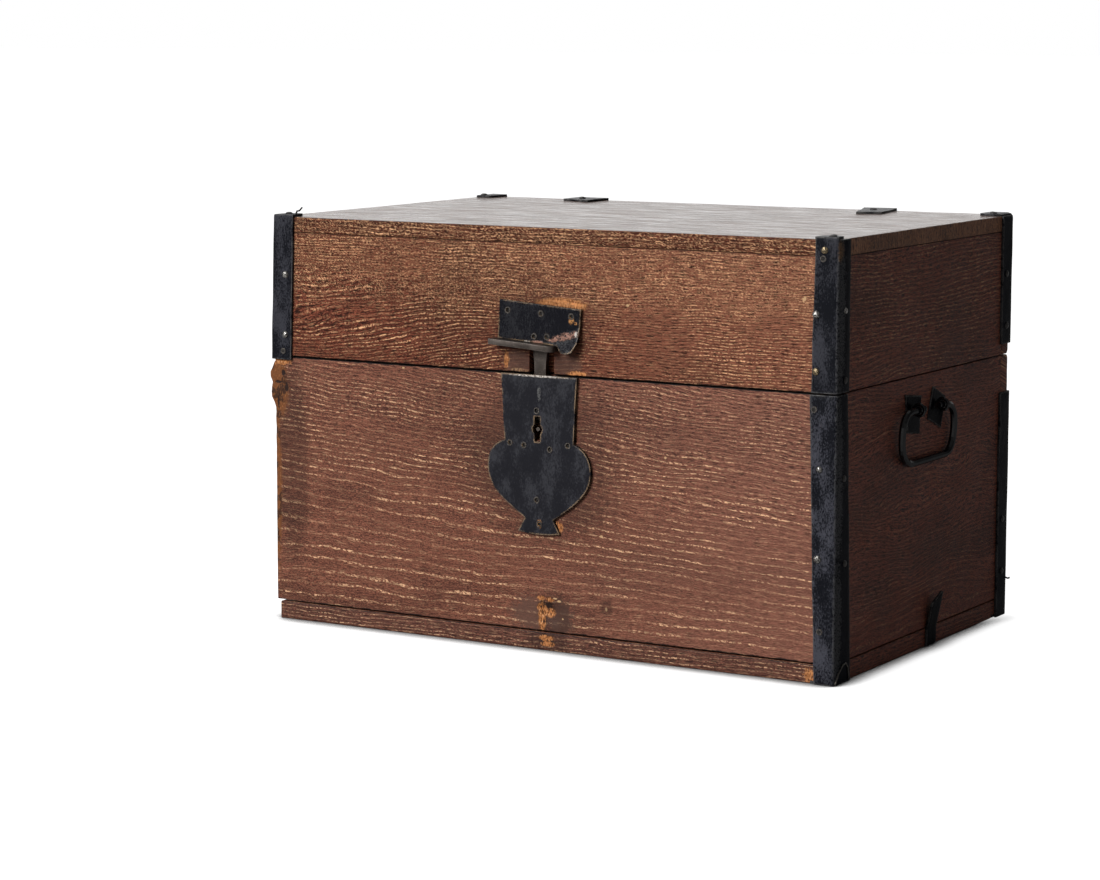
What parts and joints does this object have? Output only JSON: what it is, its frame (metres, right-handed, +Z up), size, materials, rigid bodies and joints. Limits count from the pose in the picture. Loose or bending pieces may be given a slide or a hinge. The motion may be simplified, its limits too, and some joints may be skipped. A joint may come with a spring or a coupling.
{
  "type": "travel bar case",
  "caption": "Iron-bound oak travelling bar case with a strap-hinged lid, a hasp lock with a sliding bolt, bail handles and bottle compartments",
  "frame": {"origin": "centre of the bottom board's underside, the surface that the case stands on", "axes": "+X along the front to the viewer's right, +Y from the front to the hinged back, +Z up"},
  "size_m": [0.521, 0.33, 0.328],
  "materials": {
    "oak": "old stained oak, waxed, with pale filler left in the open grain",
    "partition_wood": "bare oak, planed",
    "black_iron": "forged sheet iron, worn black paint",
    "bare_iron": "bare forged iron, browned by handling",
    "spring_steel": "tempered strip, dull"
  },
  "bodies": {
    "base": {"base_front_board": "oak", "base_back_board": "oak", "base_left_board": "oak", "base_right_board": "oak", "bottom_board": "oak", "partition_long": "partition_wood", "partition_cross_left": "partition_wood", "partition_cross_right": "partition_wood", "base_iron_front_right": "black_iron", "base_iron_back_right": "black_iron", "base_iron_back_left": "black_iron", "bottom_clip_right": "black_iron", "bottom_clip_left": "black_iron", "bottom_clip_back": "black_iron", "hinge_base_strap_left": "black_iron", "hinge_base_strap_right": "black_iron", "hinge_pin_left": "bare_iron", "hinge_pin_right": "bare_iron", "lock_plate": "black_iron", "key_post": "bare_iron", "bolt_staple_left": "bare_iron", "bolt_staple_right": "bare_iron", "bolt_spring": "spring_steel", "rove_left_front": "black_iron", "rove_left_back": "black_iron", "rove_right_front": "black_iron", "rove_right_back": "black_iron", "eye_pin_left_front": "black_iron", "eye_pin_left_back": "black_iron", "eye_pin_right_front": "black_iron", "eye_pin_right_back": "black_iron"},
    "lid": {"lid_front_board": "oak", "lid_back_board": "oak", "lid_left_board": "oak", "lid_right_board": "oak", "lid_top_board": "oak", "lid_iron_front_left": "black_iron", "lid_iron_front_right": "black_iron", "lid_iron_back_left": "black_iron", "lid_iron_back_right": "black_iron", "hinge_lid_strap_left": "black_iron", "hinge_lid_strap_right": "black_iron", "lock_tongue": "bare_iron", "hasp_plate": "black_iron"},
    "bolt": {"lock_bolt": "bare_iron"},
    "left_bail": {"bail_left": "black_iron"},
    "right_bail": {"bail_right": "black_iron"}
  },
  "joints": [
    {"name": "lid_hinge", "type": "hinge", "parent": "base", "child": "lid", "pos_m": [0, 0.1562, 0.214], "axis": [-1, 0, 0], "range_deg": [0, 105]},
    {"name": "bolt_slide", "type": "slide", "parent": "base", "child": "bolt", "axis": [-1, 0, 0], "range_m": [0, 0.007]},
    {"name": "left_bail_hinge", "type": "hinge", "parent": "base", "child": "left_bail", "pos_m": [-0.25485, -0.0066, 0.189], "axis": [0, 1, 0], "range_deg": [0, 190]},
    {"name": "right_bail_hinge", "type": "hinge", "parent": "base", "child": "right_bail", "pos_m": [0.25485, -0.0066, 0.189], "axis": [0, -1, 0], "range_deg": [0, 190]}
  ]
}
